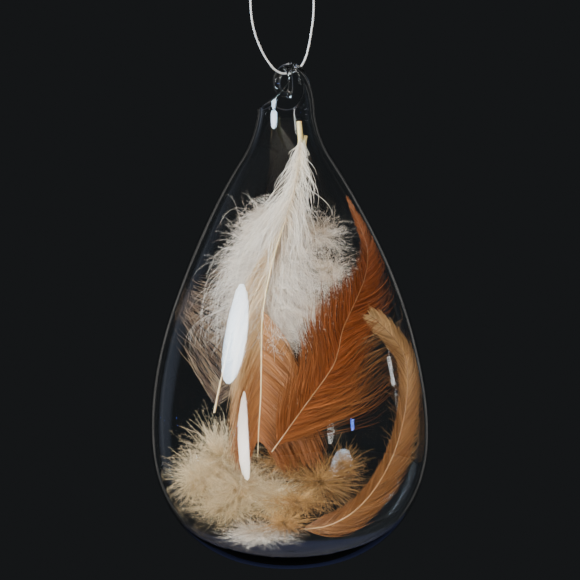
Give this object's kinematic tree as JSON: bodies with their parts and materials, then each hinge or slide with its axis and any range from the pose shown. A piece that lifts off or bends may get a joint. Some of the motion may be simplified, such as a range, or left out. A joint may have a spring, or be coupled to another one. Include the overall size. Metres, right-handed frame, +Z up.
{
  "type": "glass drop ornament",
  "caption": "Clear hand-blown glass teardrop with a slanting open neck and a drawn glass eye, hung on a knotted thread loop and filled with loose natural feathers.",
  "frame": {"origin": "the hang point: the top of the thread loop, just under its knot, where a hook or twig holds it", "axes": "+Z up, along the drop's height; +X to the right and +Y away from the viewer, as it is seen from the front"},
  "size_m": [0.08, 0.08, 0.1988],
  "materials": {
    "glass": "clear, hand-blown, thin wall",
    "nylon": "translucent white monofilament",
    "quill": "horny feather shaft, satin",
    "white_down": "loose white feather down",
    "tan_vane": "tan feather vane, silky",
    "rust_vane": "rust feather vane, silky",
    "golden_vane": "golden feather vane, silky",
    "brown_vane": "speckled brown feather vane",
    "cream_down": "loose cream feather down",
    "golden_down": "loose golden feather down"
  },
  "bodies": {
    "knot": {"thread_knot": "nylon"},
    "thread": {"thread_loop": "nylon"},
    "drop": {"glass_drop": "glass", "glass_hook": "glass", "plume_quill": "quill", "plume_stub": "quill", "plume_down": "white_down", "plume_vane": "tan_vane", "rust_quill": "quill", "rust_vane": "rust_vane", "sickle_quill": "quill", "sickle_vane": "golden_vane", "speckled_quill": "quill", "speckled_vane": "brown_vane", "side_quill": "quill", "side_vane": "brown_vane", "cream_quill": "quill", "cream_down": "cream_down", "golden_quill": "quill", "golden_down": "golden_down", "white_tuft": "white_down"}
  },
  "joints": [
    {"name": "thread_twist", "type": "hinge", "parent": "knot", "child": "thread", "pos_m": [0, 0, 0], "axis": [0, 0, 1], "range_deg": [-180, 180], "stiffness_Nm_per_rad": 0.0005},
    {"name": "drop_swing", "type": "hinge", "parent": "thread", "child": "drop", "pos_m": [0, 0, -0.0486], "axis": [0.766, 0.6428, 0], "range_deg": [-25, 25]}
  ]
}
